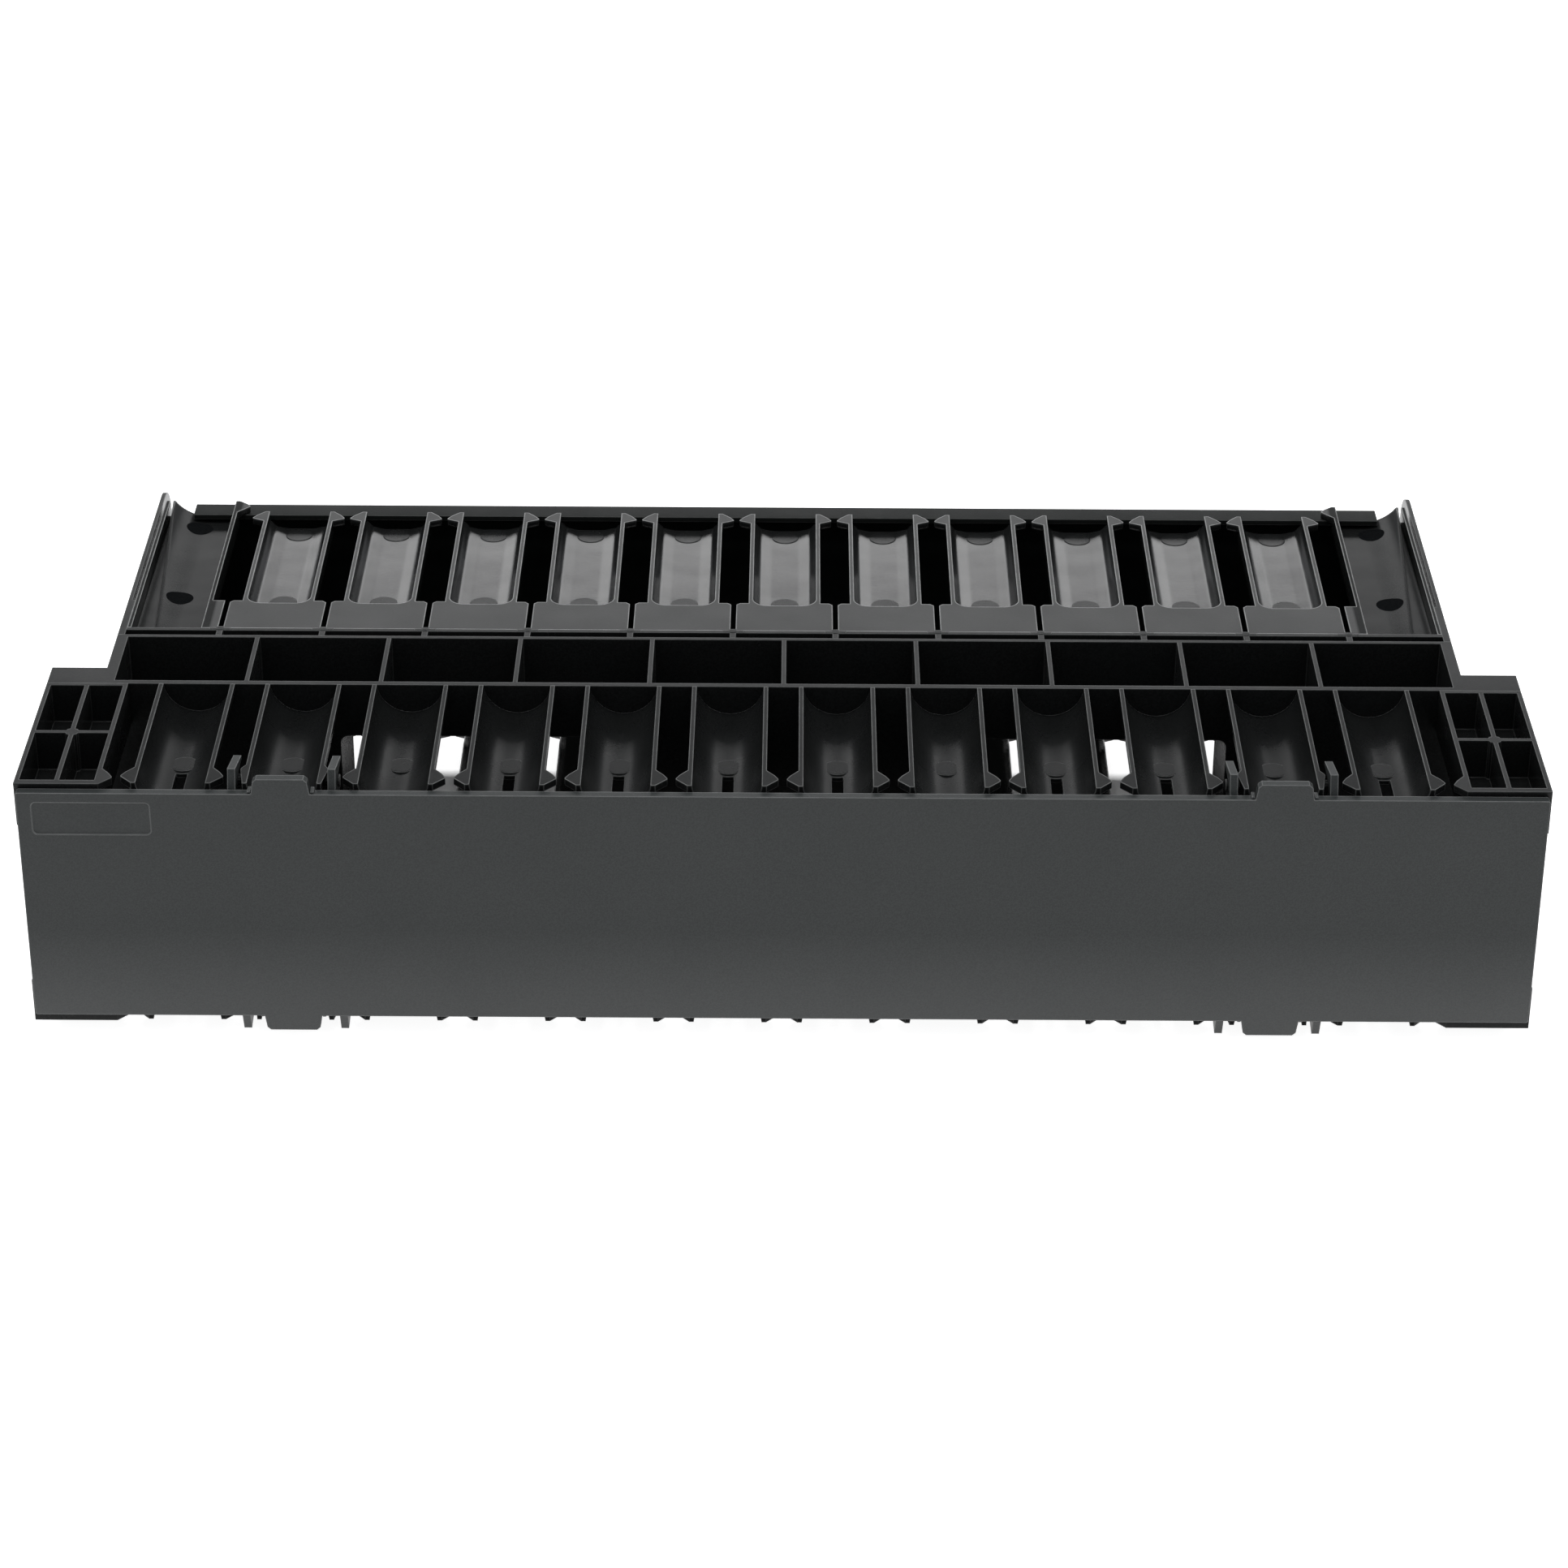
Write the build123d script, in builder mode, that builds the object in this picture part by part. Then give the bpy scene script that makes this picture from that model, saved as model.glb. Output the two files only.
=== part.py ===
from build123d import *
import os

os.makedirs("parts", exist_ok=True)

# A two-unit rack cable manager with finger rows in front of and behind a hollow beam.
# X runs across the rack, Y to the back, Z up. The origin is the centre of the rack
# bolt pattern, on the faces that the rack rails touch. All sizes are in millimetres.

# Overall sizes. The rear section is narrower than the panel by the reach of the rack flanges.
panel_width = 482.6
body_height = 87.3
front_depth = 79.3
rear_depth = 146.3
flange_reach = 18.1
rear_width = panel_width - 2 * flange_reach

# Beam and rack flanges
beam_front_depth = 11.0
beam_rear_depth = 24.4
beam_front_wall = 2.2
beam_wall = 1.5
beam_end_wall = 3.0
cell_count = 10
middle_web = 1.5
pass_width = 84.0
pass_height = 49.3
pass_centre = 104.0
pass_corner = 3.0
flange_plate = 3.3
flange_wall = 1.5
rack_hole_inset = 8.75
rack_hole_width = panel_width - 2 * rack_hole_inset
rack_hole_height = 44.45
rack_slot_width = 6.8
rack_slot_length = 10.4

# End blocks
block_width = 26.625
block_height = 15.0
block_front_wall = 2.4
block_wall = 1.5
block_boss_radius = 2.3
block_boss_side_count = 8

# Front fingers, spread evenly between the end blocks
front_finger_count = 12
front_finger_gap = 10.07
front_finger_setback = 1.0
rim = 1.45
pipe_depth_share = 0.91
pipe_wall = 1.5
label_slot_width = 3.7
label_slot_length = 24.0
plain_finger_step_count = 5
plain_finger_first_count = 2

# Barbs at the finger ends, each with its tip and its length along the finger
barb_thickness = 2.4
barb_blunt = 0.5
barb_bulge_share = 0.42
barb_belly_share = 0.68
front_barb_reach = 3.7
front_barb_tip = 4.6
front_barb_length = 10.1
rear_barb_reach = 4.0
rear_barb_tip = 2.4
rear_barb_length = 7.5
end_barb_tip = 5.2
end_barb_length = 9.1

# Hinge pins on one finger near each end of the row, and the cover hooks round them
hinge_outer_count = 1
stub_barb_reach = 1.4
stub_barb_tip = 9.4
stub_barb_length = 12.0
pin_radius = 2.0
pin_side_count = 12
pin_setback = 8.5
pin_drop = 3.0
pin_root = 1.55
pin_stub = 0.6
pin_clearance = 0.1
hook_thickness = 2.5
hook_gap = 0.65
hook_rise = 7.2
hook_lean = 3.3
hook_reach = 9.6
hook_tip_rise = 3.6
hook_tip = 1.1
jaw_reach = 5.0
jaw_flare = 0.5
jaw_thickness = 2.0
hook_root = 7.4

# Front cover. It hangs a little above the middle of the body.
cover_inset = 1.0
cover_margin = 2.95
cover_lift = 1.4
cover_thickness = 3.0
cover_gap = 0.6
cover_corner = 0.8
tab_base = 18.4
tab_tip = 16.8
tab_rise = 5.3
tab_corner = 1.0
label_width = 37.2
label_height = 11.4
label_side = 4.6
label_drop = 3.4
label_corner = 1.5
label_depth = 0.4

# Rear fingers, spread evenly between the end channels
rear_finger_count = 11
rear_finger_gap = 10.09
rear_finger_inset = 24.7
rear_strip_gap = 3.6
rear_strip_depth = 1.7
rear_plate_length = 20.7
rear_plate_thickness = 2.0
rear_plate_corner = 1.2
rear_plate_lap = 1.7
rear_slot_width = 1.8
trough_depth = 6.7
trough_wall = 1.5
trough_side_rise = 3.2
trough_side_step = 2.2
trough_bend_rise = 0.9
trough_bend_step = 6.2
trough_plan_corner = 5.0
keel_chamfer = 3.0
bridge_thickness = 2.0
bridge_height = 12.0

# End channels and side plates
channel_width = 26.335
channel_inset = 16.2
channel_depth = 6.0
channel_wall = 1.5
channel_floor = 10.0
channel_side = 1.4
crest_width = 0.8
crest_front_inset = 7.4
crest_rear_inset = 1.0
side_plate = 1.4
side_plate_root = 2.4
side_plate_corner = 12.0

# Rear cover
rear_cover_inset = 12.7
rear_cover_wall = 1.8
rear_cover_flange = 9.6
rear_cover_clearance = 0.3
rear_cover_corner = 1.2
rear_cover_lap = 6.1

# Places worked out from the sizes above
half_height = body_height / 2
block_outer = panel_width / 2
block_inner = block_outer - block_width
front_finger_width = (2 * block_inner - (front_finger_count + 1) * front_finger_gap) / front_finger_count
front_finger_pitch = front_finger_width + front_finger_gap
front_half = front_finger_width / 2
front_end = front_finger_setback - front_depth
front_centres = [(i - (front_finger_count - 1) / 2) * front_finger_pitch for i in range(front_finger_count)]
hinge_fingers = (hinge_outer_count, front_finger_count - 1 - hinge_outer_count)
hinge_centres = [front_centres[i] for i in hinge_fingers]
pipe_depth = pipe_depth_share * (front_half - rim)
rim_bottom = half_height - barb_thickness
pin_y = pin_setback - front_depth
pin_z = half_height - pin_drop
hook_side = front_half + stub_barb_reach + hook_gap
pin_end = hook_side + hook_thickness + pin_stub
seat_radius = pin_radius + pin_clearance
cover_back = -front_depth - cover_gap
cover_width = panel_width - 2 * cover_inset
cover_height = body_height - 2 * cover_margin

channel_outer = rear_width / 2 - side_plate_root
channel_rib = channel_outer - channel_width
rear_finger_width = (2 * channel_rib - (rear_finger_count + 1) * rear_finger_gap) / rear_finger_count
rear_finger_pitch = rear_finger_width + rear_finger_gap
rear_half = rear_finger_width / 2
rear_centres = [(i - (rear_finger_count - 1) / 2) * rear_finger_pitch for i in range(rear_finger_count)]
rear_slots = [(i - rear_finger_count / 2) * rear_finger_pitch for i in range(rear_finger_count + 1)]
rear_strip_front = beam_rear_depth + rear_strip_gap
strip_back = rear_strip_front + rear_strip_depth
rear_plate_end = strip_back + rear_plate_length
rear_trough_front = rear_plate_end - rear_plate_lap
rear_finger_end = rear_depth - rear_finger_inset
channel_end = rear_depth - channel_inset
cover_seat = channel_end - rear_cover_lap


def barb(side, base, reach, tip, length):
    """One barb seen from above, standing out to the given side from a wall at side * base."""
    root_x = side * base
    tip_x = side * (base + reach)
    inner_x = side * (base - rim / 2)
    belly_x = side * (base + reach * barb_belly_share)
    with BuildSketch() as outline:
        with BuildLine():
            Polyline(
                (inner_x, 0),
                (root_x, 0),
                (tip_x, tip - barb_blunt),
                (tip_x, tip),
                (belly_x, tip + (length - tip) * barb_bulge_share),
                (root_x, length),
                (inner_x, length),
                close=True,
            )
        make_face()
    return outline.sketch


# Centre beam: open cells above and below a middle web, two cable pass-throughs
# from front to back, and a pocketed rack flange at each end
beam_depth = beam_front_depth + beam_rear_depth
cell_pitch = (rear_width - 2 * beam_end_wall) / cell_count
cell_width = cell_pitch - beam_wall
cell_depth = beam_depth - beam_front_wall - beam_wall
cell_y = (beam_rear_depth - beam_wall + beam_front_wall - beam_front_depth) / 2
pocket_width = flange_reach - 2 * flange_wall
pocket_x = (rear_width + flange_reach) / 2

with BuildPart() as centre_beam:
    with BuildSketch(Plane.XY.offset(-half_height)):
        with Locations((0, (beam_rear_depth - beam_front_depth) / 2)):
            Rectangle(rear_width, beam_depth)
        with Locations((0, -beam_front_depth / 2)):
            Rectangle(panel_width, beam_front_depth)
    extrude(amount=body_height)
    for side in (1, -1):
        with BuildSketch(Plane.XY.offset(side * half_height)):
            with Locations((0, cell_y)):
                with GridLocations(cell_pitch, cell_depth, cell_count, 1):
                    Rectangle(cell_width, cell_depth)
        extrude(amount=side * (middle_web / 2 - half_height), mode=Mode.SUBTRACT)
    with BuildSketch(Plane.XZ.offset(-beam_rear_depth)):
        with Locations((-pass_centre, 0), (pass_centre, 0)):
            Rectangle(pass_width + 2 * beam_wall, pass_height + 2 * beam_wall)
    extrude(amount=beam_depth)
    with BuildSketch(Plane.XZ.offset(-beam_rear_depth)):
        with Locations((-pass_centre, 0), (pass_centre, 0)):
            RectangleRounded(pass_width, pass_height, pass_corner)
    extrude(amount=beam_depth, mode=Mode.SUBTRACT)
    with BuildSketch(Plane.XZ.offset(flange_plate)):
        with Locations((-pocket_x, 0), (pocket_x, 0)):
            Rectangle(pocket_width, body_height - 2 * flange_wall)
    extrude(amount=beam_front_depth - flange_plate, mode=Mode.SUBTRACT)
    with BuildSketch(Plane.XZ):
        with GridLocations(rack_hole_width, rack_hole_height, 2, 2):
            SlotOverall(rack_slot_length, rack_slot_width)
    extrude(amount=flange_plate, mode=Mode.SUBTRACT)
centre_beam.part.label = "centre_beam"
export_step(centre_beam.part, "parts/centre_beam.step")


# Front finger: a half-pipe web between two rims, with barbs that close the cable gaps
with BuildPart() as pipe:
    with BuildSketch(Plane.XZ.offset(beam_front_depth)):
        with BuildLine():
            ThreePointArc(
                (-front_half, rim_bottom),
                (0, half_height - pipe_depth - pipe_wall),
                (front_half, rim_bottom),
            )
            Polyline((front_half, rim_bottom), (front_half, half_height), (front_half - rim, half_height))
            ThreePointArc(
                (front_half - rim, half_height),
                (0, half_height - pipe_depth),
                (rim - front_half, half_height),
            )
            Polyline((rim - front_half, half_height), (-front_half, half_height), (-front_half, rim_bottom))
        make_face()
    extrude(amount=-front_end - beam_front_depth)

with BuildPart() as plain_finger:
    add(pipe.part)
    with BuildSketch(Plane.XY.offset(half_height)):
        with Locations((0, front_end)):
            for side in (1, -1):
                add(barb(side, front_half, front_barb_reach, front_barb_tip, front_barb_length))
    extrude(amount=-barb_thickness)

with BuildPart() as slotted_finger:
    add(plain_finger.part)
    with BuildSketch(Plane.XY.offset(half_height - pipe_depth / 2)):
        with Locations((0, front_end)):
            Rectangle(label_slot_width, 2 * label_slot_length)
    extrude(amount=-pipe_depth, mode=Mode.SUBTRACT)

with BuildPart() as hinge_finger:
    add(pipe.part)
    with BuildSketch(Plane.XY.offset(half_height)):
        with Locations((0, front_end)):
            for side in (1, -1):
                add(barb(side, front_half, stub_barb_reach, stub_barb_tip, stub_barb_length))
    extrude(amount=-barb_thickness)
    for side in (1, -1):
        with BuildSketch(Plane.YZ.offset(side * (front_half - pin_root))):
            with Locations((pin_y, pin_z)):
                RegularPolygon(pin_radius, pin_side_count)
        extrude(amount=side * (pin_end - front_half + pin_root))

with BuildPart() as front_fingers_top:
    for index, x in enumerate(front_centres):
        with Locations((x, 0, 0)):
            if index in hinge_fingers:
                add(hinge_finger.part)
            elif index % plain_finger_step_count == plain_finger_first_count:
                add(plain_finger.part)
            else:
                add(slotted_finger.part)
front_fingers_top.part.label = "front_fingers_top"
export_step(front_fingers_top.part, "parts/front_fingers_top.step")

with BuildPart() as front_fingers_bottom:
    mirror(front_fingers_top.part, about=Plane.XY)
front_fingers_bottom.part.label = "front_fingers_bottom"
export_step(front_fingers_bottom.part, "parts/front_fingers_bottom.step")


# End block: four cells round a cross of ribs, open to the outside of the row
block_length = front_depth - beam_front_depth
block_cell_width = (block_width - 3 * block_wall) / 2
block_cell_length = (block_length - block_front_wall - 2 * block_wall) / 2
block_x = (block_inner + block_outer) / 2
block_cross_y = -beam_front_depth - 1.5 * block_wall - block_cell_length

with BuildPart() as end_block_top_right:
    with BuildSketch(Plane.XY.offset(half_height)):
        with Locations((block_x, -beam_front_depth - block_length / 2)):
            Rectangle(block_width, block_length)
    extrude(amount=-block_height)
    with BuildSketch(Plane.XY.offset(half_height)):
        with Locations((block_x, block_cross_y)):
            with GridLocations(block_cell_width + block_wall, block_cell_length + block_wall, 2, 2):
                Rectangle(block_cell_width, block_cell_length)
    extrude(amount=block_wall - block_height, mode=Mode.SUBTRACT)
    with BuildSketch(Plane.XY.offset(half_height)):
        with Locations((block_x, block_cross_y)):
            RegularPolygon(block_boss_radius, block_boss_side_count)
    extrude(amount=-block_height)
    with BuildSketch(Plane.XY.offset(half_height)):
        with Locations((block_inner, -front_depth)):
            add(barb(-1, 0, front_barb_reach, front_barb_tip, front_barb_length))
    extrude(amount=-barb_thickness)
end_block_top_right.part.label = "end_block_top_right"
export_step(end_block_top_right.part, "parts/end_block_top_right.step")

with BuildPart() as end_block_top_left:
    mirror(end_block_top_right.part, about=Plane.YZ)
end_block_top_left.part.label = "end_block_top_left"
export_step(end_block_top_left.part, "parts/end_block_top_left.step")

with BuildPart() as end_block_bottom_right:
    mirror(end_block_top_right.part, about=Plane.XY)
end_block_bottom_right.part.label = "end_block_bottom_right"
export_step(end_block_bottom_right.part, "parts/end_block_bottom_right.step")

with BuildPart() as end_block_bottom_left:
    mirror(end_block_top_left.part, about=Plane.XY)
end_block_bottom_left.part.label = "end_block_bottom_left"
export_step(end_block_bottom_left.part, "parts/end_block_bottom_left.step")


# Rear root strip: a thin bar that carries the rear fingers, bridged to the beam at each slot
with BuildPart() as rear_strip_top:
    with BuildSketch(Plane.XY.offset(half_height)):
        with Locations((0, rear_strip_front + rear_strip_depth / 2)):
            Rectangle(2 * channel_outer, rear_strip_depth)
    extrude(amount=-rear_plate_thickness)
    with BuildSketch(Plane.XY.offset(half_height)):
        with Locations(*[(x, (beam_rear_depth + strip_back) / 2) for x in rear_slots]):
            Rectangle(bridge_thickness, strip_back - beam_rear_depth)
    extrude(amount=-bridge_height)
rear_strip_top.part.label = "rear_strip_top"
export_step(rear_strip_top.part, "parts/rear_strip_top.step")

with BuildPart() as rear_strip_bottom:
    mirror(rear_strip_top.part, about=Plane.XY)
rear_strip_bottom.part.label = "rear_strip_bottom"
export_step(rear_strip_bottom.part, "parts/rear_strip_bottom.step")


# Rear finger: a root plate, then a round-cornered trough that is open at the back
trough_length = rear_finger_end - rear_trough_front
trough_half = rear_half - rim
trough_floor = half_height - trough_depth
keel_bottom = trough_floor - trough_wall

with BuildPart() as trough_space:
    with BuildSketch(Plane.XZ.offset(-rear_finger_end)):
        with BuildLine():
            Polyline(
                (-trough_half, half_height),
                (-trough_half, trough_floor + trough_side_rise),
                (trough_side_step - trough_half, trough_floor + trough_bend_rise),
                (trough_bend_step - trough_half, trough_floor),
                (trough_half - trough_bend_step, trough_floor),
                (trough_half - trough_side_step, trough_floor + trough_bend_rise),
                (trough_half, trough_floor + trough_side_rise),
                (trough_half, half_height),
                close=True,
            )
        make_face()
    extrude(amount=trough_length)
    with BuildSketch(Plane.XY.offset(half_height)) as trough_plan:
        with Locations((0, rear_finger_end)):
            Rectangle(2 * trough_half, 2 * trough_length)
        fillet(trough_plan.vertices().group_by(Axis.Y)[0], trough_plan_corner)
    extrude(amount=-trough_depth, mode=Mode.INTERSECT)

with BuildPart() as rear_finger:
    with BuildSketch(Plane.XY.offset(half_height)) as root_plate:
        with Locations((0, (strip_back + rear_plate_end) / 2)):
            Rectangle(rear_finger_pitch - rear_slot_width, rear_plate_end - strip_back)
        chamfer(root_plate.vertices().group_by(Axis.Y)[-1], rear_plate_corner)
    extrude(amount=-rear_plate_thickness)
    with BuildSketch(Plane.XZ.offset(-rear_finger_end)):
        with BuildLine():
            Polyline(
                (-rear_half, half_height),
                (-rear_half, keel_bottom + keel_chamfer),
                (keel_chamfer - rear_half, keel_bottom),
                (rear_half - keel_chamfer, keel_bottom),
                (rear_half, keel_bottom + keel_chamfer),
                (rear_half, half_height),
                close=True,
            )
        make_face()
    extrude(amount=trough_length + trough_wall)
    with BuildSketch(Plane.XY.offset(half_height)):
        with Locations((0, rear_finger_end - rear_barb_length)):
            for side in (1, -1):
                add(barb(side, rear_half, rear_barb_reach, rear_barb_tip, rear_barb_length))
    extrude(amount=-barb_thickness)
    add(trough_space.part, mode=Mode.SUBTRACT)

# End channel: its outer side curves up to a crest that runs aslant beside a valley,
# and its rib has a long barb, notched below for the flange of the rear cover
channel_bottom = half_height - channel_depth
channel_under = channel_bottom - channel_wall
channel_length = channel_end - strip_back
valley_outer = channel_outer - channel_side
crest_rear = valley_outer - crest_rear_inset
crest_front = valley_outer - crest_front_inset
plate_inner = rear_slots[-1] + rear_slot_width / 2

with BuildPart() as end_channel:
    with BuildSketch(Plane.XZ.offset(-channel_end)):
        with BuildLine():
            Polyline(
                (channel_rib + rim + channel_floor, channel_bottom),
                (channel_rib + rim, channel_bottom),
                (channel_rib + rim, half_height),
                (channel_rib, half_height),
                (channel_rib, channel_under),
                (channel_outer, channel_under),
                (channel_outer, half_height),
                (crest_rear - crest_width, half_height),
            )
            TangentArc(
                (channel_rib + rim + channel_floor, channel_bottom),
                (crest_rear - crest_width, half_height),
                tangent=(1, 0),
            )
        make_face()
    extrude(amount=channel_length)
    with BuildSketch(Plane.XY.offset(half_height)):
        with BuildLine():
            Polyline(
                (crest_front, strip_back),
                (valley_outer, strip_back),
                (valley_outer, channel_end),
                (crest_rear, channel_end),
                close=True,
            )
        make_face()
    extrude(amount=-channel_depth, mode=Mode.SUBTRACT)
    with BuildSketch(Plane.XY.offset(half_height)):
        with Locations(((plate_inner + channel_rib) / 2, (strip_back + rear_plate_end) / 2)):
            Rectangle(channel_rib - plate_inner, rear_plate_end - strip_back)
    extrude(amount=-rear_plate_thickness)
    with BuildSketch(Plane.XY.offset(half_height)):
        with Locations((channel_rib, channel_end - end_barb_length)):
            add(barb(-1, 0, rear_barb_reach, end_barb_tip, end_barb_length))
    extrude(amount=-barb_thickness)
    with BuildSketch(Plane.XY.offset(half_height - barb_thickness)):
        with Locations((channel_rib + rim / 2, channel_end)):
            Rectangle(2 * rim, 2 * (channel_end - cover_seat))
    extrude(amount=barb_thickness - channel_depth, mode=Mode.SUBTRACT)

with BuildPart() as rear_fingers_top:
    with Locations(*[(x, 0, 0) for x in rear_centres]):
        add(rear_finger.part)
    add(end_channel.part)
    mirror(end_channel.part, about=Plane.YZ)
rear_fingers_top.part.label = "rear_fingers_top"
export_step(rear_fingers_top.part, "parts/rear_fingers_top.step")

with BuildPart() as rear_fingers_bottom:
    mirror(rear_fingers_top.part, about=Plane.XY)
rear_fingers_bottom.part.label = "rear_fingers_bottom"
export_step(rear_fingers_bottom.part, "parts/rear_fingers_bottom.step")


# Side plate: a thin wall with round rear corners, thicker beside the root plates
with BuildPart() as side_plate_right:
    with BuildSketch(Plane.YZ.offset(rear_width / 2)) as side_outline:
        with Locations(((beam_rear_depth + rear_depth) / 2, 0)):
            Rectangle(rear_depth - beam_rear_depth, body_height)
        fillet(side_outline.vertices().group_by(Axis.X)[-1], side_plate_corner)
    extrude(amount=-side_plate)
    with BuildSketch(Plane.YZ.offset(rear_width / 2)):
        with Locations(((beam_rear_depth + rear_plate_end) / 2, 0)):
            Rectangle(rear_plate_end - beam_rear_depth, body_height)
    extrude(amount=-side_plate_root)
side_plate_right.part.label = "side_plate_right"
export_step(side_plate_right.part, "parts/side_plate_right.step")

with BuildPart() as side_plate_left:
    mirror(side_plate_right.part, about=Plane.YZ)
side_plate_left.part.label = "side_plate_left"
export_step(side_plate_left.part, "parts/side_plate_left.step")


# Snap hook on the back of the cover, seen from the side with the hinge pin at its centre
hook_back = cover_back - pin_y
hook_foot = cover_height / 2 - cover_lift - pin_z
with BuildSketch() as hook_outline:
    with BuildLine():
        Polyline(
            (0, -seat_radius),
            (jaw_reach, -seat_radius - jaw_flare),
            (jaw_reach, -seat_radius - jaw_flare - jaw_thickness),
            (hook_back, -hook_root),
            (hook_back - cover_thickness / 2, -hook_root),
            (hook_back - cover_thickness / 2, hook_foot),
            (hook_back, hook_foot),
            (hook_back + hook_lean, hook_rise),
            (hook_reach, hook_tip_rise),
            (hook_reach, hook_tip_rise - hook_tip),
            (0, seat_radius),
        )
        ThreePointArc((0, seat_radius), (-seat_radius, 0), (0, -seat_radius))
    make_face()

with BuildPart() as top_hooks:
    for centre in hinge_centres:
        for side in (1, -1):
            with BuildSketch(Plane.YZ.offset(centre + side * hook_side)):
                with Locations((pin_y, pin_z)):
                    add(hook_outline.sketch)
            extrude(amount=side * hook_thickness)

# Front cover: a flat plate with two finger tabs at its top edge and two at its bottom edge
cover_plane = Plane(origin=(0, cover_back, cover_lift), x_dir=(1, 0, 0), z_dir=(0, -1, 0))
label_x = label_side + (label_width - cover_width) / 2
label_z = cover_height / 2 + cover_lift - label_drop - label_height / 2

with BuildPart() as front_cover:
    with BuildSketch(cover_plane) as cover_outline:
        RectangleRounded(cover_width, cover_height, cover_corner)
        with Locations(*[(x, cover_height / 2) for x in hinge_centres]):
            Polygon(
                (-tab_base / 2, -tab_corner),
                (tab_base / 2, -tab_corner),
                (tab_base / 2, 0),
                (tab_tip / 2, tab_rise),
                (-tab_tip / 2, tab_rise),
                (-tab_base / 2, 0),
                align=None,
            )
        chamfer(cover_outline.vertices().group_by(Axis.Y)[-1], tab_corner)
        mirror(about=Plane.XZ)
    extrude(amount=cover_thickness)
    with BuildSketch(Plane.XZ.offset(cover_thickness - cover_back)):
        with Locations((label_x, label_z)):
            RectangleRounded(label_width, label_height, label_corner)
    extrude(amount=-label_depth, mode=Mode.SUBTRACT)
    add(top_hooks.part)
    mirror(top_hooks.part, about=Plane.XY)
front_cover.part.label = "front_cover"
export_step(front_cover.part, "parts/front_cover.step")


# Rear cover: a plate with a flange along its top and bottom, held under the end barbs
rear_cover_width = rear_width - 2 * rear_cover_inset
flange_top = half_height - barb_thickness - rear_cover_clearance
cover_front = cover_seat + rear_cover_clearance
cover_hollow = rear_cover_flange - rear_cover_wall
with BuildPart() as rear_cover:
    with BuildSketch(Plane.YZ.offset(-rear_cover_width / 2)) as cover_profile:
        with Locations((cover_front + rear_cover_flange / 2, 0)):
            Rectangle(rear_cover_flange, 2 * flange_top)
        fillet(cover_profile.vertices().group_by(Axis.X)[-1], rear_cover_corner)
        with Locations((cover_front + (rear_cover_flange - rear_cover_wall) / 2, 0)):
            Rectangle(cover_hollow, 2 * (flange_top - rear_cover_wall), mode=Mode.SUBTRACT)
    extrude(amount=rear_cover_width)
rear_cover.part.label = "rear_cover"
export_step(rear_cover.part, "parts/rear_cover.step")
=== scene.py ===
import bmesh
import bpy
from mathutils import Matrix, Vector
from mathutils.bvhtree import BVHTree


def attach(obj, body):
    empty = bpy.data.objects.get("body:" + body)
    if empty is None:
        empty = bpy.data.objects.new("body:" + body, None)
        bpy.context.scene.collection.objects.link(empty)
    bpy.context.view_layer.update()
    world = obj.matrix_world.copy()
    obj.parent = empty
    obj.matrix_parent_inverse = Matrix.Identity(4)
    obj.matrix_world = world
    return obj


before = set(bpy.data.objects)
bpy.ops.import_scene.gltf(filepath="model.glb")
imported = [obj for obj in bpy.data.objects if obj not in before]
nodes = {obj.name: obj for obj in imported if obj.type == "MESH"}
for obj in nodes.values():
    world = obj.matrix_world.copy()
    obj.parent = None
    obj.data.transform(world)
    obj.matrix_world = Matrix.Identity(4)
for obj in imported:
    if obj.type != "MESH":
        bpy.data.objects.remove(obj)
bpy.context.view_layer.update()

print("frame loaded with", len(nodes), "nodes")

# Where the Mix node keeps its sockets for colours and for numbers
mixColour = {"factor": 0, "first": 6, "second": 7, "result": 2}
mixNumber = {"factor": 0, "first": 2, "second": 3, "result": 0}


def addNode(tree, kind, x, y, **settings):
    node = tree.nodes.new(kind)
    node.location = (x, y)
    for key, value in settings.items():
        setattr(node, key, value)
    return node


def fill(node, values):
    for key, value in values.items():
        node.inputs[key].default_value = value
    return node


def wire(tree, *wires):
    for source, outlet, target, inlet in wires:
        tree.links.new(source.outputs[outlet], target.inputs[inlet])


# An empty group with its sockets, given as a name and a kind each
def newGroup(name, inputs, outputs):
    group = bpy.data.node_groups.new(name, "ShaderNodeTree")
    for title, kind in inputs.items():
        group.interface.new_socket(title, in_out="INPUT", socket_type="NodeSocket" + kind)
    for title, kind in outputs.items():
        group.interface.new_socket(title, in_out="OUTPUT", socket_type="NodeSocket" + kind)
    given = addNode(group, "NodeGroupInput", -900, 0)
    result = addNode(group, "NodeGroupOutput", 700, 0)
    return group, given, result


def newMaterial(name):
    material = bpy.data.materials.new(name)
    material.use_nodes = True
    material.node_tree.nodes.clear()
    return material


edgeLook = {
    "samples": 8,
    "turn": {"From Min": 0.995, "From Max": 0.93},  # how far the rounded normal leaves the flat one
    "spots": {"Scale": 220.0, "Detail": 5.0, "Roughness": 0.6},
    "patches": {"From Min": 0.35, "From Max": 0.65, "To Min": 0.7, "To Max": 1.0},
}


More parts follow.
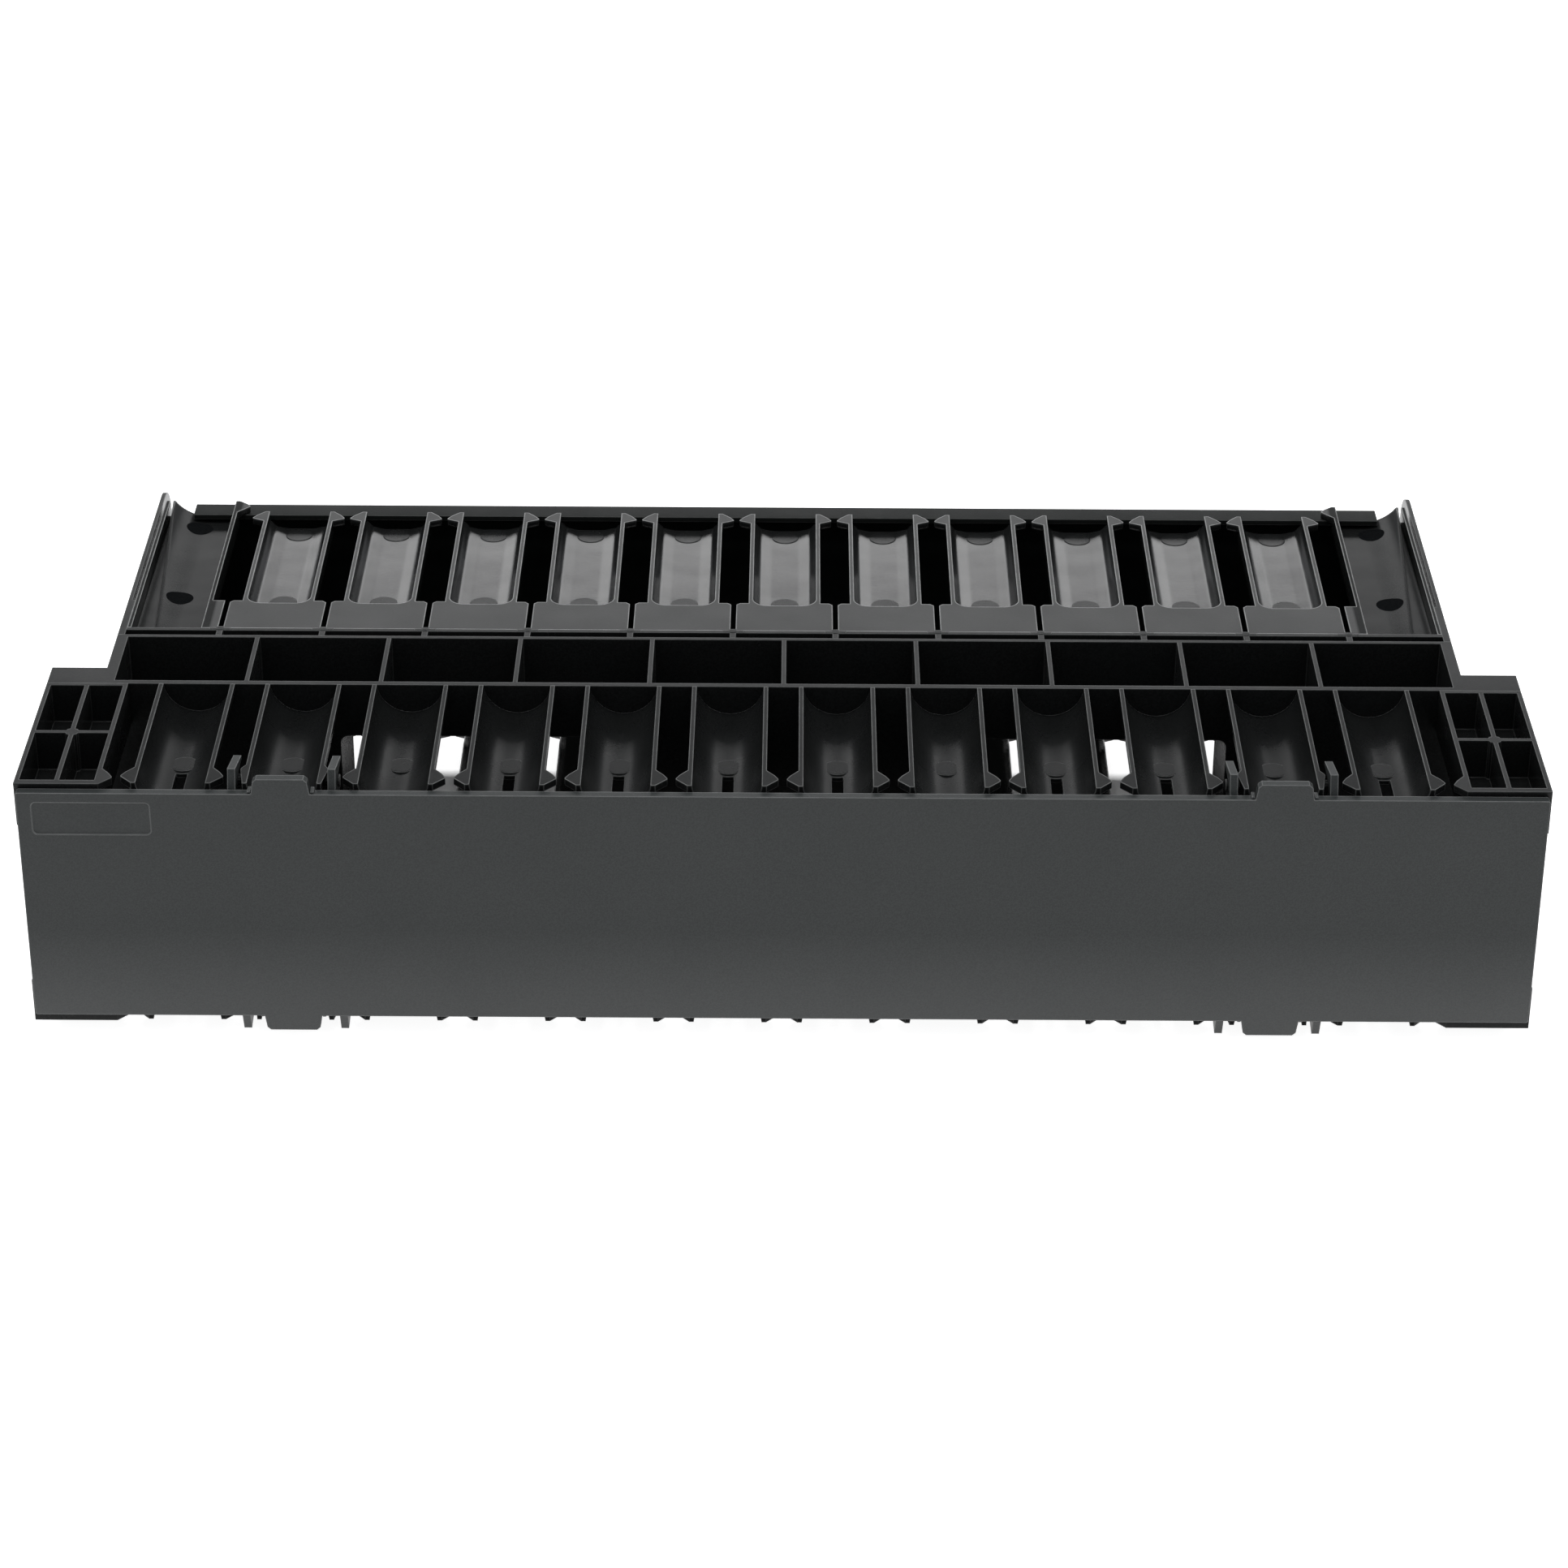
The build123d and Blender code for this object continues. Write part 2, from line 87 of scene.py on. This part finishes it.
# Rounded edges: a softened normal, and a mask for a painted highlight that is brightest along the
# edges and broken into patches
def buildEdgeRoundingAndHighlight(look):
    group, given, result = newGroup(
        "edgeRoundingAndHighlight",
        {"Radius": "Float", "Edge": "Float", "Amount": "Float"},
        {"Mask": "Float", "Normal": "Vector"},
    )
    place = addNode(group, "ShaderNodeTexCoord", -900, -300)
    rounded = addNode(group, "ShaderNodeBevel", -650, 350, samples=look["samples"])
    narrow = addNode(group, "ShaderNodeBevel", -650, 150, samples=look["samples"])
    flat = addNode(group, "ShaderNodeNewGeometry", -650, -60)
    match = addNode(group, "ShaderNodeVectorMath", -420, 100, operation="DOT_PRODUCT")
    edge = fill(addNode(group, "ShaderNodeMapRange", -200, 100), look["turn"])
    spots = fill(addNode(group, "ShaderNodeTexNoise", -650, -300), look["spots"])
    patchy = fill(addNode(group, "ShaderNodeMapRange", -420, -300), look["patches"])
    broken = addNode(group, "ShaderNodeMath", 50, 0, operation="MULTIPLY")
    scaled = addNode(group, "ShaderNodeMath", 300, 0, operation="MULTIPLY")
    wire(
        group,
        (given, "Radius", rounded, "Radius"),
        (given, "Edge", narrow, "Radius"),
        (narrow, "Normal", match, 0),
        (flat, "Normal", match, 1),
        (match, "Value", edge, "Value"),
        (place, "Object", spots, "Vector"),
        (spots, "Fac", patchy, "Value"),
        (edge, "Result", broken, 0),
        (patchy, "Result", broken, 1),
        (broken, "Value", scaled, 0),
        (given, "Amount", scaled, 1),
        (scaled, "Value", result, "Mask"),
        (rounded, "Normal", result, "Normal"),
    )
    return group


skinLook = {
    "grain": {"Detail": 3.0, "Roughness": 0.55},
    "sink": {"Detail": 1.0, "Roughness": 0.4},
    "cloud": {"Scale": 42.0, "Detail": 6.0, "Roughness": 0.62},
    "cloudSpread": {"From Min": 0.3, "From Max": 0.7},
    "speckSpread": {"From Min": 0.38, "From Max": 0.62},
}


# Moulded skin: the height of a fine grain on slow sink marks, a cloudy mask for the gloss,
# and a mask of light specks
def buildMouldSkin(look):
    group, given, result = newGroup(
        "mouldSkin",
        {"Grain Scale": "Float", "Grain Share": "Float", "Sink Scale": "Float"},
        {"Height": "Float", "Cloud": "Float", "Speck": "Float"},
    )
    place = addNode(group, "ShaderNodeTexCoord", -900, -300)
    grain = fill(addNode(group, "ShaderNodeTexNoise", -600, 200), look["grain"])
    sink = fill(addNode(group, "ShaderNodeTexNoise", -600, -60), look["sink"])
    cloud = fill(addNode(group, "ShaderNodeTexNoise", -600, -320), look["cloud"])
    mixed = addNode(group, "ShaderNodeMix", -200, 100, data_type="FLOAT")
    spread = fill(addNode(group, "ShaderNodeMapRange", -200, -320), look["cloudSpread"])
    speck = fill(addNode(group, "ShaderNodeMapRange", -200, 320), look["speckSpread"])
    wire(
        group,
        (place, "Object", grain, "Vector"),
        (place, "Object", sink, "Vector"),
        (place, "Object", cloud, "Vector"),
        (given, "Grain Scale", grain, "Scale"),
        (given, "Sink Scale", sink, "Scale"),
        (given, "Grain Share", mixed, mixNumber["factor"]),
        (sink, "Fac", mixed, mixNumber["first"]),
        (grain, "Fac", mixed, mixNumber["second"]),
        (cloud, "Fac", spread, "Value"),
        (grain, "Fac", speck, "Value"),
        (mixed, mixNumber["result"], result, "Height"),
        (spread, "Result", result, "Cloud"),
        (speck, "Result", result, "Speck"),
    )
    return group


# A zone along one axis of the object, alike on both sides of its middle: 0 before the start
# and 1 past the end. The shift moves the middle
def buildZoneMask():
    group, given, result = newGroup(
        "zoneMask",
        {"Axis": "Vector", "Shift": "Float", "Start": "Float", "End": "Float"},
        {"Mask": "Float"},
    )
    place = addNode(group, "ShaderNodeTexCoord", -700, -200)
    along = addNode(group, "ShaderNodeVectorMath", -480, -200, operation="DOT_PRODUCT")
    moved = addNode(group, "ShaderNodeMath", -260, -200, operation="ADD")
    reach = addNode(group, "ShaderNodeMath", -80, -200, operation="ABSOLUTE")
    step = addNode(group, "ShaderNodeMapRange", 150, 0)
    wire(
        group,
        (place, "Object", along, 0),
        (given, "Axis", along, 1),
        (along, "Value", moved, 0),
        (given, "Shift", moved, 1),
        (moved, "Value", reach, 0),
        (reach, "Value", step, "Value"),
        (given, "Start", step, "From Min"),
        (given, "End", step, "From Max"),
        (step, "Result", result, "Mask"),
    )
    return group


edgeRoundingAndHighlight = buildEdgeRoundingAndHighlight(edgeLook)
mouldSkin = buildMouldSkin(skinLook)
zoneMask = buildZoneMask()

# The top and bottom faces, where the painted edge highlight, edge radius and gloss change from the
# inner values
outerFaces = {"Axis": (0, 0, 1), "Start": 0.0435, "End": 0.0436}

# In each finish, the light edge colour and its two strengths paint a highlight along the edges,
# strongest on the top and bottom faces
plastics = {
    # the beam, the blocks, the root strips and the side plates
    "frameSatin": {
        "colour": (0.0075, 0.0080, 0.0080, 1.0), "fleck": (0.0115, 0.0122, 0.0122, 1.0),
        "highlightColour": (0.170, 0.175, 0.172, 1.0), "edgeHighlight": 0.8, "innerHighlight": 0.3,
        "edgeRadius": 0.0006, "innerRadius": 0.0008,
        "roughLow": 0.22, "roughHigh": 0.30, "outerRough": 0.10, "specular": 0.16,
        "grainScale": 1500.0, "grainShare": 0.30, "sinkScale": 24.0, "depth": 0.00005,
    },
    # the front fingers
    "frontSatin": {
        "colour": (0.0065, 0.0070, 0.0070, 1.0), "fleck": (0.0100, 0.0106, 0.0106, 1.0),
        "highlightColour": (0.250, 0.256, 0.252, 1.0), "edgeHighlight": 0.8, "innerHighlight": 0.7,
        "edgeRadius": 0.0006, "innerRadius": 0.0008,
        "roughLow": 0.24, "roughHigh": 0.32, "outerRough": 0.10, "specular": 0.08,
        "grainScale": 1500.0, "grainShare": 0.30, "sinkScale": 24.0, "depth": 0.00005,
    },
    # the rear fingers, with duller channels at the two ends
    "troughGloss": {
        "colour": (0.0075, 0.0080, 0.0080, 1.0), "fleck": (0.0110, 0.0116, 0.0116, 1.0),
        "highlightColour": (0.500, 0.508, 0.502, 1.0), "edgeHighlight": 0.8, "innerHighlight": 0.06,
        "edgeRadius": 0.0007, "innerRadius": 0.0016,
        "roughLow": 0.15, "roughHigh": 0.21, "outerRough": 0.23, "specular": 0.42,
        "grainScale": 1500.0, "grainShare": 0.10, "sinkScale": 55.0, "depth": 0.00012,
        "zone": {
            "mask": {"Axis": (1, 0, 0), "Start": 0.1925, "End": 0.1935},
            "specular": 0.06, "rough": 0.05,
        },
    },
    # the front cover, glossier towards its lower edge
    "coverGrain": {
        "colour": (0.0130, 0.0156, 0.0156, 1.0), "fleck": (0.0220, 0.0255, 0.0253, 1.0),
        "highlightColour": (0.230, 0.236, 0.234, 1.0), "edgeHighlight": 0.8, "innerHighlight": 1.0,
        "edgeRadius": 0.0006, "innerRadius": 0.0006,
        "roughLow": 0.48, "roughHigh": 0.52, "outerRough": 0.0, "specular": 0.40,
        "grainScale": 2200.0, "grainShare": 0.95, "sinkScale": 14.0, "depth": 0.00009,
        "zone": {
            "mask": {"Axis": (0, 0, 1), "Shift": -0.0479, "Start": 0.0550, "End": 0.0957},
            "specular": 0.75, "rough": -0.06,
        },
    },
    # the rear cover, a little glossier on the far part of its flanges
    "rearGrain": {
        "colour": (0.0090, 0.0102, 0.0098, 1.0), "fleck": (0.0110, 0.0122, 0.0117, 1.0),
        "highlightColour": (0.200, 0.205, 0.198, 1.0), "edgeHighlight": 0.8, "innerHighlight": 0.6,
        "edgeRadius": 0.0005, "innerRadius": 0.0006,
        "roughLow": 0.38, "roughHigh": 0.46, "outerRough": 0.0, "specular": 0.05,
        "grainScale": 2200.0, "grainShare": 0.70, "sinkScale": 14.0, "depth": 0.00007,
        "zone": {
            "mask": {"Axis": (0, 1, 0), "Start": 0.1250, "End": 0.1335},
            "specular": 0.08, "rough": 0.02,
        },
    },
    # the dark marks in the end channels
    "pinMark": {
        "colour": (0.0045, 0.0050, 0.0055, 1.0), "fleck": (0.0070, 0.0076, 0.0080, 1.0),
        "highlightColour": (0.026, 0.027, 0.029, 1.0), "edgeHighlight": 0.5, "innerHighlight": 0.5,
        "edgeRadius": 0.0002, "innerRadius": 0.0002,
        "roughLow": 0.20, "roughHigh": 0.28, "outerRough": 0.10, "specular": 0.0,
        "grainScale": 1500.0, "grainShare": 0.10, "sinkScale": 90.0, "depth": 0.00003,
    },
}


# The gloss of a zone: it changes the specular level, and adds to the roughness given
def addGlossZone(tree, zone, specular, roughness, shader):
    part = fill(addNode(tree, "ShaderNodeGroup", -900, -600, node_tree=zoneMask), zone["mask"])
    rougher = addNode(tree, "ShaderNodeMath", -220, -20, operation="MULTIPLY_ADD")
    fill(rougher, {1: zone["rough"]})
    shine = addNode(tree, "ShaderNodeMapRange", -420, -600)
    fill(shine, {"To Min": specular, "To Max": zone["specular"]})
    wire(
        tree,
        (part, "Mask", rougher, 0),
        (roughness, "Value", rougher, 2),
        (part, "Mask", shine, "Value"),
        (shine, "Result", shader, "Specular IOR Level"),
    )
    return rougher


def makePlastic(name, look):
    material = newMaterial(name)
    tree = material.node_tree
    edgeHighlight = addNode(tree, "ShaderNodeGroup", -900, 200, node_tree=edgeRoundingAndHighlight)
    skin = addNode(tree, "ShaderNodeGroup", -900, -100, node_tree=mouldSkin)
    outer = addNode(tree, "ShaderNodeGroup", -900, -350, node_tree=zoneMask)
    radius = addNode(tree, "ShaderNodeMapRange", -1100, 300)
    amount = addNode(tree, "ShaderNodeMapRange", -1100, 60)
    body = addNode(tree, "ShaderNodeMix", -620, 420, data_type="RGBA")
    highlightMix = addNode(tree, "ShaderNodeMix", -350, 300, data_type="RGBA")
    gloss = addNode(tree, "ShaderNodeMapRange", -620, 40)
    roughness = addNode(tree, "ShaderNodeMath", -420, 40, operation="MULTIPLY_ADD")
    bump = addNode(tree, "ShaderNodeBump", -350, -250)
    shader = addNode(tree, "ShaderNodeBsdfPrincipled", 0, 100)
    out = addNode(tree, "ShaderNodeOutputMaterial", 320, 100)
    fill(edgeHighlight, {"Edge": look["edgeRadius"]})
    fill(skin, {
        "Grain Scale": look["grainScale"], "Grain Share": look["grainShare"],
        "Sink Scale": look["sinkScale"],
    })
    fill(outer, outerFaces)
    fill(radius, {"To Min": look["innerRadius"], "To Max": look["edgeRadius"]})
    fill(amount, {"To Min": look["edgeHighlight"] * look["innerHighlight"], "To Max": look["edgeHighlight"]})
    fill(body, {mixColour["first"]: look["colour"], mixColour["second"]: look["fleck"]})
    # A light colour mixed into the base colour along the edges: a painted highlight of the rounded
    # edges
    fill(highlightMix, {mixColour["second"]: look["highlightColour"]})
    fill(gloss, {"To Min": look["roughLow"], "To Max": look["roughHigh"]})
    fill(roughness, {1: look["outerRough"]})
    fill(bump, {"Strength": 1.0, "Distance": look["depth"]})
    fill(shader, {"Specular IOR Level": look["specular"]})
    wire(
        tree,
        (outer, "Mask", radius, "Value"),
        (outer, "Mask", amount, "Value"),
        (radius, "Result", edgeHighlight, "Radius"),
        (amount, "Result", edgeHighlight, "Amount"),
        (skin, "Speck", body, mixColour["factor"]),
        (body, mixColour["result"], highlightMix, mixColour["first"]),
        (edgeHighlight, "Mask", highlightMix, mixColour["factor"]),
        (highlightMix, mixColour["result"], shader, "Base Color"),
        (skin, "Cloud", gloss, "Value"),
        (outer, "Mask", roughness, 0),
        (gloss, "Result", roughness, 2),
        (skin, "Height", bump, "Height"),
        (edgeHighlight, "Normal", bump, "Normal"),
        (bump, "Normal", shader, "Normal"),
        (shader, "BSDF", out, "Surface"),
    )
    if "zone" in look:
        roughness = addGlossZone(tree, look["zone"], look["specular"], roughness, shader)
    wire(tree, (roughness, "Value", shader, "Roughness"))
    return material


finishes = {name: makePlastic(name, look) for name, look in plastics.items()}
print("materials made:", ", ".join(finishes))

# Every other node of the frame has the finish frameSatin
nodeFinish = {
    "front_cover": "coverGrain",
    "rear_cover": "rearGrain",
    "rear_fingers_top": "troughGloss",
    "rear_fingers_bottom": "troughGloss",
    "front_fingers_top": "frontSatin",
    "front_fingers_bottom": "frontSatin",
}
for name, piece in nodes.items():
    piece.data.materials.clear()
    piece.data.materials.append(finishes[nodeFinish.get(name, "frameSatin")])
print("frame dressed")


def makePiece(name, bm, finish, body):
    bmesh.ops.recalc_face_normals(bm, faces=bm.faces)
    mesh = bpy.data.meshes.new(name)
    bm.to_mesh(mesh)
    bm.free()
    mesh.materials.append(finishes[finish])
    piece = bpy.data.objects.new(name, mesh)
    bpy.context.scene.collection.objects.link(piece)
    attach(piece, body)


# The bottom row's copy of what stands on the top row
def mirrorDown(bm):
    copy = bmesh.ops.duplicate(bm, geom=bm.verts[:] + bm.edges[:] + bm.faces[:])["geom"]
    below = [v for v in copy if isinstance(v, bmesh.types.BMVert)]
    bmesh.ops.scale(bm, vec=(1, 1, -1), verts=below)


def rowPlaces(row):
    return [(i - (row["count"] - 1) / 2) * row["pitch"] for i in range(row["count"])]


def addBox(bm, size, centre):
    corners = bmesh.ops.create_cube(bm, size=1)["verts"]
    bmesh.ops.scale(bm, vec=size, verts=corners)
    bmesh.ops.translate(bm, vec=centre, verts=corners)


def softenEdges(bm, edges, radius, segments):
    bmesh.ops.bevel(
        bm, geom=edges, offset=radius, segments=segments, profile=0.5, affect="EDGES", material=-1
    )


# Flat round pin marks along a row: low discs with a softened rim, their top faces at one height
def addPinMarks(name, marks, finish):
    bm = bmesh.new()
    rimLevel = marks["top"] - 0.01 * marks["depth"]
    for x in rowPlaces(marks):
        for y in marks["ys"]:
            disc = bmesh.ops.create_cone(
                bm, cap_ends=True, segments=marks["sides"],
                radius1=marks["radius"], radius2=marks["radius"], depth=marks["depth"],
            )["verts"]
            bmesh.ops.translate(bm, vec=(x, y, marks["top"] - marks["depth"] / 2), verts=disc)
            upper = {v for v in disc if v.co.z > rimLevel}
            rim = [e for e in bm.edges if upper.issuperset(e.verts)]
            softenEdges(bm, rim, marks["rim"], 2)
    mirrorDown(bm)
    makePiece(name, bm, finish, "frame")


pipeMarks = {
    "count": 12, "pitch": 0.03494, "ys": (-0.0486,), "top": 0.03416,
    "radius": 0.0047, "depth": 0.0010, "rim": 0.00008, "sides": 40,
}
addPinMarks("pipe_pin_marks", pipeMarks, "frontSatin")

troughMarks = {
    "count": 11, "pitch": 0.03444, "ys": (0.0625, 0.1158), "top": 0.03709,
    "radius": 0.0048, "depth": 0.0008, "rim": 0.00030, "sides": 40,
}
addPinMarks("trough_pin_marks", troughMarks, "frameSatin")

# Two round marks in each end channel, laid on the curve of the moulding below them
channelMarks = {
    "x": 0.2078, "ys": (0.0636, 0.1190), "radius": 0.0046,
    "rings": 5, "sides": 48, "proud": 0.00005, "dropFrom": 0.1,
}
channel = nodes["rear_fingers_top"]
channelTree = BVHTree.FromPolygons(
    [channel.matrix_world @ v.co for v in channel.data.vertices],
    [p.vertices for p in channel.data.polygons],
)
bm = bmesh.new()
for side in (-1, 1):
    for y in channelMarks["ys"]:
        circle = bmesh.ops.create_circle(
            bm, cap_ends=True, segments=channelMarks["sides"], radius=channelMarks["radius"]
        )["verts"]
        bmesh.ops.translate(bm, vec=(side * channelMarks["x"], y, 0), verts=circle)
ringWidth = channelMarks["radius"] / channelMarks["rings"]
for ring in range(channelMarks["rings"] - 1):
    caps = [f for f in bm.faces if len(f.verts) > 4]
    bmesh.ops.inset_region(bm, faces=caps, thickness=ringWidth, depth=0, use_boundary=True)
for v in bm.verts:
    found = channelTree.ray_cast((v.co.x, v.co.y, channelMarks["dropFrom"]), (0, 0, -1))[0]
    v.co.z = found.z + channelMarks["proud"]
heights = [round(v.co.z, 5) for v in bm.verts]
print("channel marks from", min(heights), "to", max(heights))
mirrorDown(bm)
makePiece("channel_pin_marks", bm, "pinMark", "frame")

# Low pads where each slot between the root plates meets the strip: a bar, and a stem behind it
rootPads = {
    "count": 12, "pitch": 0.03444, "top": 0.04385, "height": 0.0004, "rim": 0.00012,
    "bar": {"width": 0.0074, "depth": 0.0013, "y": 0.0289},
    "stem": {"width": 0.0026, "depth": 0.0016, "y": 0.0298},
}
bm = bmesh.new()
for x in rowPlaces(rootPads):
    for pad in (rootPads["bar"], rootPads["stem"]):
        size = (pad["width"], pad["depth"], rootPads["height"])
        addBox(bm, size, (x, pad["y"], rootPads["top"] - rootPads["height"] / 2))
softenEdges(bm, bm.edges[:], rootPads["rim"], 2)
mirrorDown(bm)
makePiece("slot_root_pads", bm, "frameSatin", "frame")

# Small gussets behind the base corners of the cover's finger tabs
tabGussets = {
    "centre": 0.15723, "reach": 0.0099, "y": -0.0806, "top": 0.0429, "bottom": -0.0401,
    "size": (0.0013, 0.0034, 0.0018), "rim": 0.0003,
}
halfHeight = tabGussets["size"][2] / 2
bm = bmesh.new()
for centre in (-tabGussets["centre"], tabGussets["centre"]):
    for side in (-1, 1):
        for z in (tabGussets["top"] - halfHeight, tabGussets["bottom"] + halfHeight):
            x = centre + side * tabGussets["reach"]
            addBox(bm, tabGussets["size"], (x, tabGussets["y"], z))
softenEdges(bm, bm.edges[:], tabGussets["rim"], 3)
makePiece("tab_gussets", bm, "coverGrain", "cover")
print("pin marks, pads and gussets made")

# The floor glows evenly for camera, glossy and transmission rays, except in a rectangle under the
# part where the glow is cut to almost nothing: painted shade, on top of the floor's own shading
floorLook = {
    "size": 8.0, "level": -0.0482, "colour": (0.74, 0.74, 0.74, 1.0), "rough": 0.7,
    "glow": 0.92, "glowUnderPaintedShade": 0.03,
    "besideX": {"Axis": (1, 0, 0), "Start": 0.209, "End": 0.221},
    "besideY": {"Axis": (0, 1, 0), "Shift": -0.0185, "Start": 0.0750, "End": 0.0810},
}


def makeFloor(look):
    mesh = bpy.data.meshes.new("floor")
    bm = bmesh.new()
    bmesh.ops.create_grid(bm, x_segments=1, y_segments=1, size=look["size"] / 2)
    bmesh.ops.translate(bm, vec=(0, 0, look["level"]), verts=bm.verts)
    bm.to_mesh(mesh)
    bm.free()
    floor = bpy.data.objects.new("floor", mesh)
    bpy.context.scene.collection.objects.link(floor)
    material = newMaterial("paleFloor")
    mesh.materials.append(material)
    tree = material.node_tree
    path = addNode(tree, "ShaderNodeLightPath", -700, 200)
    seen = addNode(tree, "ShaderNodeMath", -500, 200, operation="MAXIMUM")
    seenAll = addNode(tree, "ShaderNodeMath", -330, 200, operation="MAXIMUM")
    # Masks that are 0 in a rectangle under the part, where the floor's glow is cut to paint in
    # shade
    besideX = addNode(tree, "ShaderNodeGroup", -700, -100, node_tree=zoneMask)
    besideY = addNode(tree, "ShaderNodeGroup", -700, -350, node_tree=zoneMask)
    beside = addNode(tree, "ShaderNodeMath", -500, -200, operation="MAXIMUM")
    glow = addNode(tree, "ShaderNodeMapRange", -330, -200)
    lift = addNode(tree, "ShaderNodeMath", -160, 200, operation="MULTIPLY")
    shader = addNode(tree, "ShaderNodeBsdfPrincipled", 50, 100)
    out = addNode(tree, "ShaderNodeOutputMaterial", 380, 100)
    fill(besideX, look["besideX"])
    fill(besideY, look["besideY"])
    fill(glow, {"To Min": look["glowUnderPaintedShade"], "To Max": look["glow"]})
    fill(shader, {
        "Base Color": look["colour"], "Roughness": look["rough"], "Emission Color": (1, 1, 1, 1),
    })
    wire(
        tree,
        (path, "Is Camera Ray", seen, 0),
        (path, "Is Glossy Ray", seen, 1),
        (seen, "Value", seenAll, 0),
        (path, "Is Transmission Ray", seenAll, 1),
        (besideX, "Mask", beside, 0),
        (besideY, "Mask", beside, 1),
        (beside, "Value", glow, "Value"),
        (seenAll, "Value", lift, 0),
        (glow, "Result", lift, 1),
        (lift, "Value", shader, "Emission Strength"),
        (shader, "BSDF", out, "Surface"),
    )


makeFloor(floorLook)

softboxes = {
    "overhead": {"place": (0.0, 0.05, 1.5), "aim": (0, 0, 0), "size": (1.2, 0.6), "watts": 9.0},
    "behind": {"place": (0.0, 1.9, 0.76), "aim": (0, 0.05, 0), "size": (1.6, 0.40), "watts": 4.9},
    "strip": {"place": (0.0, -0.75, 1.3), "aim": (0, 0, 0), "size": (1.6, 0.14), "watts": 2.5},
    "left": {"place": (-1.35, 0.1, 0.95), "aim": (0, 0, 0), "size": (0.8, 0.6), "watts": 6.0},
    "right": {"place": (1.35, 0.1, 0.95), "aim": (0, 0, 0), "size": (0.8, 0.6), "watts": 5.0},
}
for name, box in softboxes.items():
    lamp = bpy.data.lights.new(name, "AREA")
    lamp.shape = "RECTANGLE"
    lamp.size, lamp.size_y = box["size"]
    lamp.energy = box["watts"]
    light = bpy.data.objects.new(name, lamp)
    light.location = box["place"]
    towards = Vector(box["aim"]) - Vector(box["place"])
    light.rotation_euler = towards.to_track_quat("-Z", "Y").to_euler()
    bpy.context.scene.collection.objects.link(light)

# The world is white to the camera, and softer as a light
worldLook = {"colour": (0.95, 0.97, 1.0, 1.0), "strength": 0.42, "seenStrength": 1.1}
world = bpy.data.worlds.new("studio")
bpy.context.scene.world = world
world.use_nodes = True
sky = world.node_tree
sky.nodes.clear()
path = addNode(sky, "ShaderNodeLightPath", -700, 0)
strength = addNode(sky, "ShaderNodeMix", -200, 0, data_type="FLOAT")
background = addNode(sky, "ShaderNodeBackground", 50, 0)
skyOut = addNode(sky, "ShaderNodeOutputWorld", 300, 0)
fill(strength, {
    mixNumber["first"]: worldLook["strength"], mixNumber["second"]: worldLook["seenStrength"],
})
fill(background, {"Color": worldLook["colour"]})
wire(
    sky,
    (path, "Is Camera Ray", strength, mixNumber["factor"]),
    (strength, mixNumber["result"], background, "Strength"),
    (background, "Background", skyOut, "Surface"),
)

cameraLook = {
    "place": (0.00368, -1.24264, 0.6853), "turn": (1.067602, -0.00378, 0.004855),
    "lens": 97.34596, "sensor": 36.0,
}
cameraData = bpy.data.cameras.new("camera")
cameraData.lens = cameraLook["lens"]
cameraData.sensor_width = cameraLook["sensor"]
camera = bpy.data.objects.new("camera", cameraData)
camera.location = cameraLook["place"]
camera.rotation_euler = cameraLook["turn"]
bpy.context.scene.collection.objects.link(camera)
bpy.context.scene.camera = camera
bpy.context.scene.view_settings.view_transform = "Standard"
print("studio and camera set")
